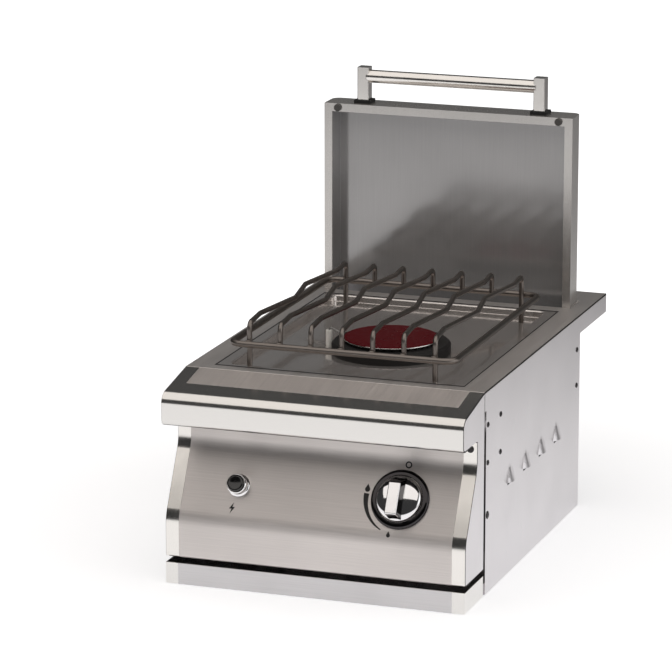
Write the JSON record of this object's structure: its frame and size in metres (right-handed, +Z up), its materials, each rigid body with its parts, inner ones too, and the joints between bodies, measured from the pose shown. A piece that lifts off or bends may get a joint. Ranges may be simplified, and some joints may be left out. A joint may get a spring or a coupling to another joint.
{
  "type": "propane side burner",
  "caption": "Outdoor gas side burner: steel housing, rod grate over one round burner, push-and-turn knob, igniter button, and a lift-off lid parked upright in a slot behind the pan.",
  "frame": {"origin": "middle of the footprint (deck and nose, without the knob) on the underside of the base tray, which rests on the ground plane", "axes": "+X to the right as seen from the front, +Y to the rear where the lid stands, +Z up"},
  "size_m": [0.3622, 0.5794, 0.514],
  "materials": {
    "brushed_stainless": "brushed stainless sheet",
    "polished_stainless": "polished",
    "chrome_plate": "polished plating",
    "grate_steel": "satin round bar",
    "red_enamel": "glossy enamel",
    "black_iron": "matte black",
    "brass": "machined",
    "plain_steel": "satin tube and bracket",
    "white_ceramic": "glazed",
    "black_rubber": "matte",
    "black_plastic": "gloss",
    "dark_steel": "screw steel"
  },
  "bodies": {
    "housing": {"right_side_panel": "brushed_stainless", "left_side_panel": "brushed_stainless", "rear_panel": "brushed_stainless", "base_tray": "brushed_stainless", "top_deck": "brushed_stainless", "burner_pan": "brushed_stainless", "front_nose": "brushed_stainless", "right_end_plate": "brushed_stainless", "left_end_plate": "brushed_stainless", "control_panel": "brushed_stainless", "right_panel_trim": "polished_stainless", "left_panel_trim": "polished_stainless", "front_apron": "brushed_stainless", "knob_bezel": "chrome_plate", "valve_body": "brass", "manifold_pipe": "plain_steel", "supply_pipe": "plain_steel", "gas_inlet": "brass", "inlet_nut": "brass", "feed_tube": "plain_steel", "injector": "brass", "mixing_tube": "black_iron", "burner_head": "black_iron", "electrode_ceramic": "white_ceramic", "electrode_rod": "plain_steel", "electrode_bracket": "plain_steel", "igniter_body": "black_plastic", "igniter_collar": "chrome_plate", "left_lid_rest": "brushed_stainless", "right_lid_rest": "brushed_stainless", "side_panel_screws": "dark_steel", "panel_screws": "dark_steel"},
    "air_shutter": {"air_shutter": "plain_steel"},
    "burner_cap": {"burner_cap": "red_enamel"},
    "grate": {"grate_ring": "grate_steel", "grate_rod_1": "grate_steel", "grate_rod_2": "grate_steel", "grate_rod_3": "grate_steel", "grate_rod_4": "grate_steel", "grate_rod_5": "grate_steel", "grate_rod_6": "grate_steel", "grate_rod_7": "grate_steel"},
    "lid": {"lid_shell": "brushed_stainless", "lid_liner": "brushed_stainless", "handle_tube": "polished_stainless", "left_handle_post": "brushed_stainless", "right_handle_post": "brushed_stainless", "handle_gaskets": "black_rubber", "lid_bumpers": "black_rubber", "handle_screws": "dark_steel"},
    "valve_plug": {"valve_plug": "brass"},
    "knob": {"control_knob": "chrome_plate", "valve_stem": "plain_steel"},
    "igniter_button": {"igniter_button": "black_plastic"}
  },
  "joints": [
    {"name": "lid_lift", "type": "slide", "parent": "housing", "child": "lid", "axis": [0, 0, 1], "range_m": [0, 0.16]},
    {"name": "grate_lift", "type": "slide", "parent": "housing", "child": "grate", "axis": [0, 0, 1], "range_m": [0, 0.1]},
    {"name": "burner_cap_lift", "type": "slide", "parent": "housing", "child": "burner_cap", "axis": [0, 0, 1], "range_m": [0, 0.03]},
    {"name": "knob_turn", "type": "hinge", "parent": "housing", "child": "valve_plug", "pos_m": [0.095, -0.25751, 0.11894], "axis": [0, -0.8852, 0.4653], "range_deg": [0, 180]},
    {"name": "knob_push", "type": "slide", "parent": "valve_plug", "child": "knob", "axis": [0, 0.8852, -0.4653], "range_m": [0, 0.003], "stiffness_N_per_m": 1500, "springref_m": -0.002},
    {"name": "igniter_push", "type": "slide", "parent": "housing", "child": "igniter_button", "axis": [0, 0.8852, -0.4653], "range_m": [0, 0.004], "stiffness_N_per_m": 1200, "springref_m": -0.002},
    {"name": "air_shutter_turn", "type": "hinge", "parent": "housing", "child": "air_shutter", "pos_m": [0, -0.11625, 0.178], "axis": [0, 1, 0], "range_deg": [0, 45]}
  ]
}
